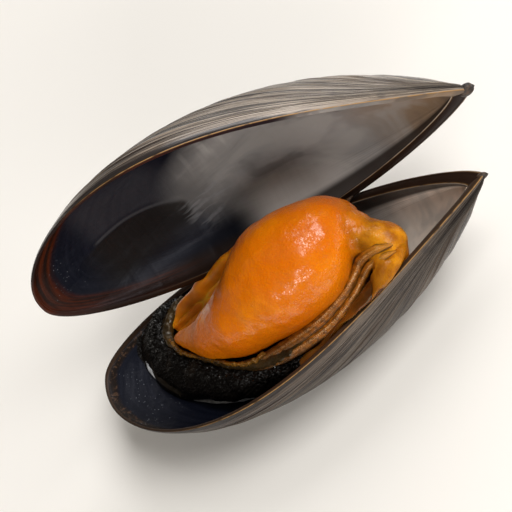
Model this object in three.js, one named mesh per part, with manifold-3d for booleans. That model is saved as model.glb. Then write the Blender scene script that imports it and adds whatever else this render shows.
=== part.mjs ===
// Open mussel shell with its cooked meat lying in the lower valve.
// Millimetres, Z up. Each valve is laid out with its beak at the origin, X along its
// length, its hinge side at -Y and its hollow side up; the whole is then turned to its rest.
import * as THREE from 'three';
import load_manifold from 'manifold-3d';

const kernel = await load_manifold();
kernel.setup();
const { Manifold, Mesh } = kernel;

// Outline and depth of one valve, as series in the part of its length.
const valve_length = 70;
const hinge_side = [28, 3, -8];
const open_side = [22, 66, -46];
const belly = [43, 0, -32];
const valve_columns = 36;

// Growth ledges on the outer face, by the part of the whole size where each ends.
const ledges = [0.34, 0.47, 0.58, 0.68, 0.77, 0.85, 0.92];
const ledge_height = 0.22;
const ledge_rows = [0.4, 0.75, 1];
const ledge_drop = 0.004;
const margin_rows = [0.965, 0.99, 1];

// Inner face: the dome made smaller, thick at the beak and thin at the rounded end.
const beak_wall = 3.0;
const end_wall = 0.8;
const inner_size = [(valve_length - beak_wall - end_wall) / valve_length, 0.93, 0.875];
const inner_shift = [beak_wall, 0.7];
const inner_rows = [1, 0.985, 0.95, 0.9, 0.82, 0.72, 0.6, 0.47, 0.34, 0.2];
const lip_height = 0.22;

// How the upper valve is opened: turned about one point, which is then moved.
const open_turn = [76.75, 7.0, 12.82];
const turn_from = [33.31, -11.76, 0];
const turn_to = [31.52, -6.4, 1.46];

// How the whole lies at rest, on a small worn flat under the lower valve.
const rest_turn = [12, 6, 0];
const worn_flat = 0.8;

// Leathery pad between the hinge margins.
const pad_centre = [25.5, -8.4, 1.3];
const pad_half = [6, 2.4, 1.8];
const pad_turn = 4;
const pad_rows = 12;
const pad_columns = 14;
const pad_gap = 0.4;

// Mantle: the outline of a valve made smaller, and the frill around its edge.
const mantle_size = [0.69, 0.84, 0.81];
const mantle_shift = [14, 0.4, -0.6];
const mantle_middle = [36.5, 2.4];
const mantle_columns = 44;
const mantle_rows = [0.1, 0.35, 0.6, 0.8, 0.93];
const frill_rows = [
  { part: 1.0, height: -2.3, wave: 0.5 },
  { part: 1.05, height: -1.4, wave: 1 },
  { part: 1.03, height: -0.4, wave: 1 },
  { part: 0.96, height: 0.1, wave: 0.7 },
  { part: 0.88, height: -0.5, wave: 0.3 },
  { part: 0.6, height: -0.6, wave: 0 },
  { part: 0.25, height: -0.6, wave: 0 },
];
const frill_waves = [{ size: 0.022, turns: 1.9 }, { size: 0.012, turns: 3.1 }];
const frill_rise = 12;

// Lobe, nub and flap as ovals: middle x, y, z, half width, and half thickness along the lean.
const lean = [-0.42, 0.68, 0.6];
const lobe_ovals = [
  [55.2, -0.1, 0.2, 0.3, 0.5],
  [53.4, 1.3, 0.8, 1.3, 1.4],
  [50.7, 3.0, 1.2, 2.2, 2.6],
  [47.1, 4.7, 1.8, 3.4, 3.9],
  [43.5, 5.8, 2.9, 4.7, 5.2],
  [39.9, 6.1, 4.0, 5.9, 6.3],
  [36.7, 6.0, 4.9, 6.8, 7.0],
  [33.4, 5.7, 5.7, 7.7, 7.5],
  [30.4, 5.1, 6.2, 8.2, 7.8],
  [27.4, 4.2, 6.2, 8.0, 7.8],
  [24.6, 3.0, 5.9, 7.2, 7.4],
  [22.4, 2.0, 5.6, 6.0, 6.7],
  [20.5, 1.4, 5.2, 4.6, 5.6],
  [18.8, 1.3, 4.9, 3.0, 4.0],
  [17.6, 1.6, 4.7, 1.2, 1.8],
];
const nub_ovals = [
  [21.4, 1.2, 4.5, 4.2, 4.2],
  [18.6, 3.2, 3.4, 3.4, 3.6],
  [17.0, 4.4, 2.8, 3.0, 3.1],
  [15.6, 5.4, 2.3, 2.9, 2.7],
  [14.4, 6.4, 1.8, 2.5, 2.2],
  [13.6, 7.1, 1.5, 1.6, 1.4],
  [13.2, 7.4, 1.4, 0.6, 0.5],
];
const flap_ovals = [
  [38.0, -1.6, 6.6, 1.0, 0.8],
  [41.3, -2.0, 5.0, 2.0, 1.0],
  [44.1, -2.2, 3.7, 2.5, 1.1],
  [47.1, -2.5, 2.5, 2.7, 1.1],
  [50.2, -2.7, 1.4, 2.7, 1.0],
  [53.0, -2.6, 0.5, 2.1, 0.8],
  [55.0, -2.4, -0.1, 1.0, 0.5],
];
const lobe_columns = 24;
const fold_columns = 14;

// Filled shapes that keep the meat and the pad off the valves, and the room left for the meat.
const keep_out_size = 1.035;
const keep_out_middle = [35, 3, -3];
const keep_out_height = 0.55;
const filled_rows = [0.25, 0.45, 0.62, 0.77, 0.9, 0.97, 1];
const room_size = [0.924, 0.9, 0.845];
const room_shift = [3.9, 0.6];
const room_height = 30;

const degrees = Math.PI / 180;
const V = (x, y, z = 0) => new THREE.Vector3(x, y, z);
const series = (c, u) => c[0] + c[1] * u + c[2] * u * u;
const width = (c, u) => u ** 0.75 * Math.max(1 - u, 0) ** 0.5 * series(c, u);
const depth = (u) => (u * Math.max(1 - u, 0)) ** 0.8 * series(belly, u);

// Margin of a valve at t, from the beak along the hinge side and back along the open side.
function margin(t) {
  const u = (1 - Math.cos(2 * Math.PI * t)) / 2;
  return [valve_length * u, t < 0.5 ? -width(hinge_side, u) : width(open_side, u)];
}

// Height of the dome under the point x, y.
function hollow(x, y) {
  const u = Math.min(Math.max(x / valve_length, 0), 1);
  const near = -width(hinge_side, u);
  const far = width(open_side, u);
  const across = far === near ? 1 : (2 * y - near - far) / (far - near);
  return -depth(u) * Math.sqrt(Math.max(0, 1 - across * across));
}

// Point of the domed valve where growth has reached the part s of the whole size.
function dome(s, t) {
  const [x, y] = margin(t);
  return V(s * x, s * y, s === 1 ? 0 : hollow(s * x, s * y));
}

// Outward direction of the dome, from two short steps on it.
function outward(s, t) {
  const step = 0.01;
  const growth = dome(Math.min(s + step, 0.999), t).sub(dome(s - step, t));
  const round = dome(s, Math.min(t + step, 1 - step)).sub(dome(s, Math.max(t - step, step)));
  return round.cross(growth).normalize();
}

// Closed skin through stacked loops of points, with its first and last loop capped.
function skin(loops) {
  const index = new Map();
  const spots = [];
  const faces = [];
  const number = (p) => {
    if (!index.has(p)) {
      index.set(p, index.size);
      spots.push(p.x, p.y, p.z);
    }
    return index.get(p);
  };
  const face = (a, b, c) => {
    if (a !== b && b !== c && c !== a) faces.push(number(a), number(b), number(c));
  };
  const count = loops[0].length;
  for (let i = 1; i < loops.length; i++) {
    const below = loops[i - 1];
    const above = loops[i];
    for (let j = 0; j < count; j++) {
      const k = (j + 1) % count;
      face(below[j], below[k], above[k]);
      face(below[j], above[k], above[j]);
    }
  }
  const first = loops[0];
  const last = loops[loops.length - 1];
  for (let j = 1; j < count - 1; j++) {
    face(first[0], first[j + 1], first[j]);
    face(last[0], last[j], last[j + 1]);
  }
  return { spots, faces };
}

const solid = ({ spots, faces }) => new Manifold(new Mesh({
  numProp: 3, vertProperties: new Float32Array(spots), triVerts: new Uint32Array(faces),
}));

// Loops over the dome at growth s, raised by a step, that all pass through one beak point.
function growth_loops(steps, place) {
  const beak = place(V(0, 0));
  return steps.map(([s, step]) => {
    const loop = [beak];
    for (let j = 1; j < valve_columns; j++) {
      const t = j / valve_columns;
      loop.push(place(dome(s, t).addScaledVector(outward(s, t), step)));
    }
    return loop;
  });
}
const level = (rows) => rows.map((s) => [s, 0]);
const resized = (size, [x, y]) => (p) => V(x + p.x * size[0], y + p.y * size[1], p.z * size[2]);

function valve() {
  const steps = [];
  let from = 0;
  for (const ledge of ledges) {
    for (const part of ledge_rows) {
      const raise = part * ledge_height * Math.min(1, 1.3 * ledge);
      steps.push([from + (ledge - from) * part, raise]);
    }
    from = ledge + ledge_drop;
    steps.push([from, 0]);
  }
  const outer = growth_loops([...steps, ...level(margin_rows)], (p) => p);
  const inner = growth_loops(level(inner_rows), resized(inner_size, inner_shift));
  const rim = outer[outer.length - 1];
  const lip = rim.map((p, j) => p.clone().lerp(inner[0][j], 0.5).add(V(0, 0, lip_height)));
  return skin([...outer, lip, ...inner]);
}

// Opening movement of the upper valve, which is the mirror image of the lower one.
const turn = new THREE.Euler(...open_turn.map((a) => a * degrees), 'XYZ');
const opened = (p) => V(p.x, p.y, -p.z).sub(V(...turn_from)).applyEuler(turn).add(V(...turn_to));

function moved({ spots, faces }, move, mirrored) {
  const out = [];
  for (let i = 0; i < spots.length; i += 3) out.push(...move(V(...spots.slice(i, i + 3))));
  const order = mirrored ? [0, 2, 1] : [0, 1, 2];
  return { spots: out, faces: faces.map((f, i) => faces[i - (i % 3) + order[i % 3]]) };
}

// Rounded body through ovals, each given by its middle, half width and half thickness.
function body(ovals, thick_way, count) {
  const middles = ovals.map(([x, y, z]) => V(x, y, z));
  const last = middles.length - 1;
  return solid(skin(ovals.map(([, , , wide, thick], i) => {
    const run = middles[Math.min(i + 1, last)].clone().sub(middles[Math.max(i - 1, 0)]);
    const across = thick_way.clone().cross(run).normalize();
    const loop = [];
    for (let j = 0; j < count; j++) {
      const angle = 2 * Math.PI * j / count;
      loop.push(middles[i].clone()
        .addScaledVector(across, wide * Math.cos(angle))
        .addScaledVector(thick_way, thick * Math.sin(angle)));
    }
    return loop;
  })));
}

// Filled shape of a closed-off valve, slightly larger than the valve itself.
function keep_out() {
  const middle = V(...keep_out_middle);
  const loops = growth_loops(level(filled_rows),
    (p) => p.clone().sub(middle).multiplyScalar(keep_out_size).add(middle));
  return skin([...loops, loops[loops.length - 1].map((p) => V(p.x, p.y, keep_out_height))]);
}
const lower_block = solid(keep_out());
const upper_block = solid(moved(keep_out(), opened, true));

// The pad is squeezed between the two hinge margins.
function pad(extra) {
  const [x, y, z] = pad_centre;
  const [long, wide, thick] = pad_half.map((half) => half + extra);
  const ovals = [];
  for (let i = 0; i <= pad_rows; i++) {
    const k = -Math.cos(Math.PI * (i + 0.35) / (pad_rows + 0.7));
    const size = Math.sqrt(1 - k * k) * (1 - 0.2 * k * k);
    const reach = k * long;
    ovals.push([x + reach * Math.cos(pad_turn * degrees), y + reach * Math.sin(pad_turn * degrees),
      z, wide * size, thick * size]);
  }
  return body(ovals, V(0, 0, 1), pad_columns);
}

// The mantle lies in the hollow like a smaller valve, and its edge stands up as a frill.
function mantle() {
  const middle = V(...mantle_middle);
  const [x, y, drop] = mantle_shift;
  const foot = [];
  for (let j = 0; j < mantle_columns; j++) {
    const [rim_x, rim_y] = margin(j / mantle_columns);
    foot.push(V(x + mantle_size[0] * rim_x, y + mantle_size[1] * rim_y));
  }
  const reach = (p, part) => p.clone().sub(middle).multiplyScalar(part).add(middle);
  const under = mantle_rows.map((part) => foot.map((edge) => {
    const p = reach(edge, part);
    const deep = hollow((p.x - x) / mantle_size[0], (p.y - y) / mantle_size[1]);
    return p.setZ(mantle_size[2] * deep + drop);
  }));
  const upper = frill_rows.map(({ part, height, wave }) => foot.map((edge, j) => {
    const ruffle = frill_waves.reduce((sum, { size, turns }) => sum + size * Math.sin(j * turns), 0);
    return reach(edge, part + wave * ruffle).setZ(height + frill_rise * wave * ruffle);
  }));
  return solid(skin([...under, ...upper]));
}

function meat() {
  const leaning = V(...lean).normalize();
  const room_loops = growth_loops(level(filled_rows), resized(room_size, room_shift));
  const room_top = room_loops[room_loops.length - 1].map((p) => V(p.x, p.y, room_height));
  return mantle()
    .add(body(lobe_ovals, leaning, lobe_columns))
    .add(body(nub_ovals, leaning, fold_columns))
    .add(body(flap_ovals, leaning, fold_columns))
    .intersect(solid(skin([...room_loops, room_top])))
    .subtract(upper_block)
    .subtract(pad(pad_gap))
    .simplify(0.05);
}

// The outermost skin of a solid, so that pockets closed in on all sides are filled.
function outermost(shape) {
  const mesh = shape.getMesh();
  const faces = Array.from(mesh.triVerts);
  const group = Array.from({ length: mesh.numVert }, (_, i) => i);
  const root = (i) => {
    while (group[i] !== i) i = group[i] = group[group[i]];
    return i;
  };
  for (let i = 0; i < faces.length; i++) group[root(faces[i])] = root(faces[i - (i % 3)]);
  const size = new Map();
  for (const v of faces) size.set(root(v), (size.get(root(v)) || 0) + 1);
  const main = [...size.keys()].reduce((a, b) => (size.get(a) >= size.get(b) ? a : b));
  return {
    spots: Array.from(mesh.vertProperties),
    faces: faces.filter((v, i) => root(faces[i - (i % 3)]) === main),
  };
}

const lower = valve();
const ligament = pad(0).subtract(lower_block).subtract(upper_block).simplify(0.06);
const rest = new THREE.Euler(...rest_turn.map((a) => a * degrees), 'XYZ');
const pieces = [
  ['lower_valve', 'shell', lower],
  ['upper_valve', 'shell', moved(lower, opened, true)],
  ['ligament', 'ligament', outermost(ligament)],
  ['meat', 'meat', outermost(meat())],
].map(([name, slot, shape]) => [name, slot, moved(shape, (p) => p.applyEuler(rest), false)]);

// Every height below the worn flat is lifted to it.
const lowest = pieces[0][2];
const floor = Math.min(...lowest.spots.filter((_, i) => i % 3 === 2)) + worn_flat;
lowest.spots = lowest.spots.map((v, i) => (i % 3 === 2 ? Math.max(v, floor) : v));

// The whole stands on the floor, with the middle of its box above the origin.
const box = new THREE.Box3();
for (const [, , { spots }] of pieces) {
  for (let i = 0; i < spots.length; i += 3) box.expandByPoint(V(...spots.slice(i, i + 3)));
}
const shift = V(-(box.min.x + box.max.x) / 2, -(box.min.y + box.max.y) / 2, -box.min.z);

const slots = {
  shell: new THREE.MeshStandardMaterial({ name: 'shell', color: 0x2a2830, roughness: 0.35 }),
  ligament: new THREE.MeshStandardMaterial({ name: 'ligament', color: 0x2b1a10, roughness: 0.6 }),
  meat: new THREE.MeshStandardMaterial({ name: 'meat', color: 0xd9771c, roughness: 0.35 }),
};

const group = new THREE.Group();
group.name = 'open_mussel';
for (const [name, slot, { spots, faces }] of pieces) {
  const geometry = new THREE.BufferGeometry();
  geometry.setAttribute('position', new THREE.Float32BufferAttribute(spots, 3));
  geometry.setIndex(faces);
  geometry.translate(shift.x, shift.y, shift.z);
  geometry.computeVertexNormals();
  const mesh = new THREE.Mesh(geometry, slots[slot]);
  mesh.name = name;
  group.add(mesh);
}

export default group;
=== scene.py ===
import math

import bpy
import numpy as np
from bpy.props import FloatProperty, FloatVectorProperty, IntProperty, PointerProperty
from mathutils import Euler, Matrix, Vector, kdtree, noise


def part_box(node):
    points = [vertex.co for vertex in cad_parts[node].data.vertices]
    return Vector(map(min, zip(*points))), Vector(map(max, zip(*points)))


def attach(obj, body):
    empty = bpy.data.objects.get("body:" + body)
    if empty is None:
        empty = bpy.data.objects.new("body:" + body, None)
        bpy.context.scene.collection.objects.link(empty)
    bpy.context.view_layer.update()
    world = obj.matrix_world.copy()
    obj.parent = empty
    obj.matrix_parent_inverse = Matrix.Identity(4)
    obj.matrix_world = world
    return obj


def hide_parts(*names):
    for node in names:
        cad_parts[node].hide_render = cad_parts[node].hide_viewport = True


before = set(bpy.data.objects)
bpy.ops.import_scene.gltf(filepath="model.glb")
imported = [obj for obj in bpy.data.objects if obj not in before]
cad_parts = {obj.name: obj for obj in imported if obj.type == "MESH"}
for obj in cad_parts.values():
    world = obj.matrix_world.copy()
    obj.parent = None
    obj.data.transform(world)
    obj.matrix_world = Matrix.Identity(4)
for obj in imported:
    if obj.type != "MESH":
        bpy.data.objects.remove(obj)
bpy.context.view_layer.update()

bl_info = {
    "name": "Open Mussel",
    "version": (1, 0, 0),
    "blender": (4, 5, 0),
    "location": "3D View > Sidebar > Mussel",
    "description": "Dresses the solids of an open cooked mussel with shell, nacre and meat",
    "category": "Add Mesh",
}

# The layout below is in millimetres, with the lower valve's beak at the origin, X along the
# valve, the hinge side at -Y and the hollow side up. It is turned to its rest on the floor.
MM = 0.001
VALVE_LENGTH = 70.0
HINGE_SIDE = (28.0, 3.0, -8.0)
OPEN_SIDE = (22.0, 66.0, -46.0)
BELLY = (43.0, 0.0, -32.0)
BEAK_WALL = 3.0
END_WALL = 0.8
LINING_LENGTH = VALVE_LENGTH - BEAK_WALL - END_WALL
LINING_WIDTH = 0.93
LINING_DEPTH = 0.875
LINING_SHIFT = 0.7
TURN_FROM = np.array((33.31, -11.76, 0.0))
TURN_TO = np.array((31.52, -6.4, 1.46))
REST_TURN = (12.0, 6.0)
WORN_FLAT = 0.8

# Rows and columns of one valve's mesh, the growth ledges of its outer face as shares of the way
# from the beak, and its lip as shares from the outer to the inner margin, each with its rise.
COLUMNS = 200
OUTER_ROWS = 150
INNER_ROWS = 90
INNERMOST = 0.06
LEDGES = np.array([0, 0.2, 0.34, 0.41, 0.47, 0.53, 0.58, 0.63, 0.68, 0.725, 0.77, 0.81, 0.85, 0.885,
                   0.92, 0.95, 0.975, 1.0])
LIP = ((0.12, 0.16), (0.35, 0.24), (0.65, 0.22), (0.9, 0.08))

# The camera in the same layout: eye in millimetres, turn in degrees, lens and sensor in
# millimetres, and the picture's size in pixels with the lens in pixels.
EYE = np.array((-58.0, 148.3, 137.7))
CAMERA_TURN = (41.03, 37.49, 176.96)
LENS = 105.5
SENSOR = 36.0
PICTURE = 512
FOCUS = LENS / SENSOR * PICTURE

# Each lamp's direction in the camera's own axes, power, length and width in metres, and colour.
AIM = Vector((0, 0, 0.02))
LAMP_DISTANCE = 0.9
LAMP_FLOOR = 0.2
LAMPS = {
    "overhead": ((0.1, 0.54, 0.78), 6.35, 0.56, 0.56, (1.0, 0.995, 0.975)),
    "front": ((0.1, -0.52, 0.85), 3.9, 0.6, 0.24, (1.0, 0.985, 0.96)),
    "rim": ((-0.15, 0.97, 0.2), 4.4, 0.6, 0.6, (1.0, 0.99, 0.98)),
}
FLOOR_REACH = 6.0


def three_turn(x, y, z=0.0):
    """Turn about X, then about the turned Y, then about the turned Z, in degrees."""
    turns = [Matrix.Rotation(math.radians(a), 3, axis) for a, axis in zip((x, y, z), "XYZ")]
    return np.array(turns[0] @ turns[1] @ turns[2])


OPENING = three_turn(76.75, 7.0, 12.82)
REST = three_turn(*REST_TURN)
CAMERA = np.array(Euler([math.radians(a) for a in CAMERA_TURN], "XYZ").to_matrix())


def series(c, u):
    """Second-order curve over u from its three numbers."""
    return c[0] + c[1] * u + c[2] * u * u


def width(c, u):
    """How far one side of a valve reaches at u from 0 at the beak to 1 at the far end."""
    return u ** 0.75 * np.maximum(1 - u, 0) ** 0.5 * series(c, u)


def depth(u):
    """Depth of a valve at u."""
    return (u * np.maximum(1 - u, 0)) ** 0.8 * series(BELLY, u)


def margin(t):
    """Margin of a valve at t, from the beak along the hinge side and back along the open side."""
    u = (1 - np.cos(2 * np.pi * t)) / 2
    return VALVE_LENGTH * u, np.where(t < 0.5, -width(HINGE_SIDE, u), width(OPEN_SIDE, u))


def between(y, near, far):
    """Where y lies between two edges, from -1 to 1."""
    return np.divide(2 * y - near - far, far - near, out=np.ones_like(near), where=far - near > 1e-9)


def hollow(x, y):
    """Height of the valve's dome under the point x, y."""
    u = np.clip(x / VALVE_LENGTH, 0, 1)
    across = between(y, -width(HINGE_SIDE, u), width(OPEN_SIDE, u))
    return -depth(u) * np.sqrt(np.maximum(0, 1 - across ** 2))


def opened(points):
    """Lower-valve layout points mirrored and carried to the opened upper valve."""
    return (points * (1, 1, -1) - TURN_FROM) @ OPENING.T + TURN_TO


def smooth(low, high, x):
    """0 below low, 1 above high, and smooth between."""
    k = np.clip((x - low) / (high - low), 0, 1)
    return k * k * (3 - 2 * k)


def wobble(values, seed, scale=1.0):
    """Smooth one-dimensional noise between -1 and 1."""
    flat = np.ravel(values)
    out = [noise.noise(Vector((v * scale, seed * 7.31, 0.5))) for v in flat]
    return np.reshape(out, np.shape(values)) * 1.8


def bumps(points, scale, seed=0.0):
    """Smooth noise between -1 and 1 at points given as rows."""
    flat = points.reshape(-1, 3) * scale + seed
    return np.reshape([noise.noise(Vector(p)) for p in flat], points.shape[:-1]) * 1.8


def valve_shape():
    """Rings of the outer face, lip and inner face of one valve, each from its beak point.

    Also how far each ring lies from the beak and from outside in, and the places around it.
    """
    t = np.arange(1, COLUMNS) / COLUMNS
    rim_x, rim_y = margin(t)
    rows, facts = [], []

    def dome(s):
        """The margin shrunk by s and laid on the outer face."""
        x, y = s * rim_x, s * rim_y
        z = hollow(x, y) if s < 1 else np.zeros_like(x)
        return np.stack([x, y, z], 1)

    def face(s):
        """Directions out of the outer face along the ring at s."""
        ahead, behind = dome(min(s + 0.004, 0.9995)), dome(s - 0.004)
        growth = ahead - behind
        round_ = np.gradient(dome(min(s, 0.9995)), axis=0)
        normal = -np.cross(growth, round_)
        return normal / (np.linalg.norm(normal, axis=1, keepdims=True) + 1e-12)

    for s in np.sin(np.pi / 2 * np.linspace(INNERMOST, 1, OUTER_ROWS)):
        k = np.searchsorted(LEDGES, s, side="left")
        saw = (s - LEDGES[k - 1]) / (LEDGES[k] - LEDGES[k - 1])
        relief = 0.16 * saw ** 2 * (0.7 + 0.5 * wobble(t * 9 + k * 3.7, 3.0))
        relief += 0.05 * wobble(np.full_like(t, s * 90.0) + 0.6 * wobble(t, 5.0, 14.0), 9.0)
        fade = smooth(0.02, 0.3, s) * (1 - 0.6 * smooth(0.97, 1.0, s))
        row = dome(s) + face(s) * (relief * fade)[:, None]
        if s > 0.9995:
            row[:, 2] = 0
        rows.append(row)
        facts.append((s, 0.0))
    outer_rim = rows[-1]

    def lined(points):
        """Points of the outer face carried to the inner face."""
        shrink = (LINING_LENGTH / VALVE_LENGTH, LINING_WIDTH, LINING_DEPTH)
        return points * shrink + (BEAK_WALL, LINING_SHIFT, 0)

    inner_rim = lined(dome(1.0))
    for k, lift in LIP:
        rows.append(outer_rim * (1 - k) + inner_rim * k + (0, 0, lift))
        facts.append((1.0, 0.05 + 0.4 * k))
    for s in np.sin(np.pi / 2 * np.linspace(1, INNERMOST, INNER_ROWS)):
        row = lined(dome(s))
        row[:, 2] += 0.10 * np.sin(s * 40 + 1.5 * np.sin(6 * t)) * smooth(0.6, 0.95, s) * smooth(1.0, 0.96, s)
        rows.append(row)
        facts.append((s, 1.0))
    beaks = [(0.0, 0.0, 0.0)] * OUTER_ROWS + [(BEAK_WALL * k, LINING_SHIFT * k, LIP[0][1]) for k, _ in LIP]
    beaks += [(BEAK_WALL, LINING_SHIFT, 0.0)] * INNER_ROWS
    return np.concatenate([np.array(beaks)[:, None], rows], axis=1), np.array(facts), t


def make_mesh(name, points, faces, attributes=None):
    """A mesh object in metres from rest-frame points, with its point attributes."""
    mesh = bpy.data.meshes.new(name)
    mesh.from_pydata((points * MM).tolist(), [], faces)
    mesh.update()
    for key, values in (attributes or {}).items():
        kind = "FLOAT_VECTOR" if np.ndim(values) == 2 else "FLOAT"
        field = "vector" if kind == "FLOAT_VECTOR" else "value"
        mesh.attributes.new(key, kind, "POINT").data.foreach_set(field, np.ravel(values).astype(np.float32))
    mesh.shade_smooth()
    piece = bpy.data.objects.new(name, mesh)
    bpy.context.scene.collection.objects.link(piece)
    return piece


def seam(rings, flip):
    """Faces of a closed body stored as rings of points, turned inside out if asked."""
    count, around = rings.shape[:2]
    faces = []
    for start in range(0, (count - 1) * around, around):
        for j in range(around):
            a, b = start + j, start + (j + 1) % around
            faces.append((a, b, b + around, a + around))
    faces.append(tuple(range(around))[::-1])
    faces.append(tuple(range((count - 1) * around, count * around)))
    return [face[::-1] for face in faces] if flip else faces


def to_rest(points):
    """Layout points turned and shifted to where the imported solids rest."""
    return points @ REST.T + rest_shift()


def rest_shift():
    """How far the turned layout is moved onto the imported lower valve, worked out once."""
    if not hasattr(rest_shift, "value"):
        t = np.linspace(0.002, 0.998, 400)
        x, y = margin(t)
        edge = np.stack([x, y, np.zeros_like(x)], 1)
        low_box = np.array(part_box("lower_valve")) / MM
        turned = edge @ REST.T
        shift = (low_box.sum(0) - turned.min(0) - turned.max(0)) / 2
        s = np.linspace(0.2, 0.99, 80)[:, None]
        inside = np.stack([(s * x).ravel(), (s * y).ravel(), hollow((s * x).ravel(), (s * y).ravel())], 1)
        shift[2] = -(inside @ REST.T)[:, 2].min() - WORN_FLAT
        rest_shift.value = shift
    return rest_shift.value


class Wire:
    """A node socket that takes part in Python arithmetic by adding Math nodes."""

    def __init__(self, shader, socket):
        self.shader, self.socket = shader, socket

    def _math(self, operation, *values):
        return self.shader.add("ShaderNodeMath", {"operation": operation}, *values)

    def __add__(self, other):
        return self._math("ADD", self, other)

    def __radd__(self, other):
        return self._math("ADD", other, self)

    def __sub__(self, other):
        return self._math("SUBTRACT", self, other)

    def __rsub__(self, other):
        return self._math("SUBTRACT", other, self)

    def __mul__(self, other):
        return self._math("MULTIPLY", self, other)

    def __rmul__(self, other):
        return self._math("MULTIPLY", other, self)

    def __pow__(self, other):
        return self._math("POWER", self, other)

    def clamp(self):
        """Kept between 0 and 1."""
        return self.shader.add("ShaderNodeClamp", {}, self)

    def above(self, low, high):
        """0 below low, 1 above high, and smooth between."""
        return self.shader.add("ShaderNodeMapRange", {"interpolation_type": "SMOOTHSTEP"}, self, low, high)

    def below(self, low, high):
        """1 below low, 0 above high, and smooth between."""
        return 1 - self.above(low, high)


class Shader:
    """A material and its nodes, each added by one method."""

    def __init__(self, name, **constants):
        self.material = bpy.data.materials.new(name)
        self.material.use_nodes = True
        self.tree = self.material.node_tree
        self.surface = self.tree.nodes["Principled BSDF"]
        for socket, value in constants.items():
            self.surface.inputs[socket.replace("_", " ")].default_value = value

    def add(self, kind, settings, *values, out=0, **named):
        """A node from its type, its settings, and the values or links of its sockets."""
        node = self.tree.nodes.new(kind)
        for key, value in settings.items():
            setattr(node, key, value)
        for index, value in enumerate(values):
            self.put(node.inputs[index], value)
        for key, value in named.items():
            self.put(node.inputs[key.replace("_", " ")], value)
        return Wire(self, node.outputs[out])

    def put(self, socket, value):
        """Link a wire to a socket, or set the socket; nothing is done for None."""
        if isinstance(value, Wire):
            self.tree.links.new(value.socket, socket)
        elif value is not None:
            if socket.type == "RGBA" and len(value) == 3:
                value = (*value, 1.0)
            socket.default_value = value

    def field(self, name, vector=False):
        """A point attribute of the mesh."""
        return self.add("ShaderNodeAttribute", {"attribute_name": name}, out=1 if vector else 2)

    def inner(self):
        """Place within the piece, in metres."""
        return self.add("ShaderNodeTexCoord", {}, out=3)

    def parts(self, vector):
        """The three numbers of a vector."""
        first = self.add("ShaderNodeSeparateXYZ", {}, vector)
        return [Wire(self, socket) for socket in first.socket.node.outputs]

    def join(self, x, y, z=0.0):
        """A vector from three numbers."""
        return self.add("ShaderNodeCombineXYZ", {}, x, y, z)

    def noise(self, vector, scale, detail=3.0, rough=0.5, distortion=0.0):
        """Cloudy noise around 0.5."""
        return self.add("ShaderNodeTexNoise", {}, Vector=vector, Scale=scale, Detail=detail, Roughness=rough,
                        Distortion=distortion)

    def cells(self, vector, scale):
        """Distance to the nearest of scattered points."""
        return self.add("ShaderNodeTexVoronoi", {}, Vector=vector, Scale=scale)

    def mix(self, mask, a, b):
        """Two colours mixed by a mask from 0 to 1."""
        unused = [None] * 5
        return self.add("ShaderNodeMix", {"data_type": "RGBA"}, mask, *unused, a, b, out=2)

    def bump(self, height, distance, strength=1.0, base=None):
        """A height in metres that tilts the light, over another bump if given."""
        return self.add("ShaderNodeBump", {}, Strength=strength, Distance=distance, Height=height,
                        Normal=base)

    def finish(self, **sockets):
        """The material, once its surface has these values or links."""
        for key, value in sockets.items():
            self.put(self.surface.inputs[key.replace("_", " ")], value)
        return self.material


class ShellLook(bpy.types.PropertyGroup):
    """Colours and relief of the two valves."""

    outside: FloatVectorProperty(
        name="Outside", description="Dark horny skin of the shell", subtype="COLOR",
        default=(0.02, 0.015, 0.013))
    # Silvery streak colour: partly real wear of the skin, partly painted sheen.
    worn_and_sheen: FloatVectorProperty(
        name="Worn skin", description="Silvery streaks where the skin is worn", subtype="COLOR",
        default=(0.55, 0.45, 0.36))
    pearl: FloatVectorProperty(
        name="Pearl", description="Lower nacre near the beak", subtype="COLOR", default=(0.84, 0.72, 0.62))
    horn: FloatVectorProperty(
        name="Horn", description="Upper nacre near the beak", subtype="COLOR", default=(0.28, 0.19, 0.12))
    slate: FloatVectorProperty(
        name="Slate", description="Nacre in the middle", subtype="COLOR", default=(0.26, 0.246, 0.237))
    navy: FloatVectorProperty(
        name="Navy", description="Nacre towards the rounded end", subtype="COLOR",
        default=(0.003, 0.004, 0.009))
    edge: FloatVectorProperty(
        name="Edge", description="Golden line along the lip", subtype="COLOR", default=(0.4, 0.22, 0.08))


class MeatLook(bpy.types.PropertyGroup):
    """Colours and sizes of the cooked meat."""

    lobe: FloatVectorProperty(
        name="Lobe", description="Plump orange body", subtype="COLOR", default=(0.72, 0.18, 0.001))
    amber: FloatVectorProperty(
        name="Amber", description="Folds along the front", subtype="COLOR", default=(0.16, 0.05, 0.004))
    frill: FloatVectorProperty(
        name="Frill", description="Dark mantle edge", subtype="COLOR", default=(0.0025, 0.0016, 0.0012))
    ribs: IntProperty(name="Ribs", description="Fine ribs along one gill fold", default=150, min=20, max=400)
    warts: FloatProperty(
        name="Warts", description="Height of the frill's warts", default=0.28 * MM, unit="LENGTH", min=0.0)


class StageLook(bpy.types.PropertyGroup):
    """Floor, lights and camera."""

    floor: FloatVectorProperty(
        name="Floor", description="Floor colour", subtype="COLOR", default=(0.9, 0.87, 0.83))
    lens: FloatProperty(name="Lens", description="Focal length", default=LENS, unit="CAMERA", min=10.0)


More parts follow.
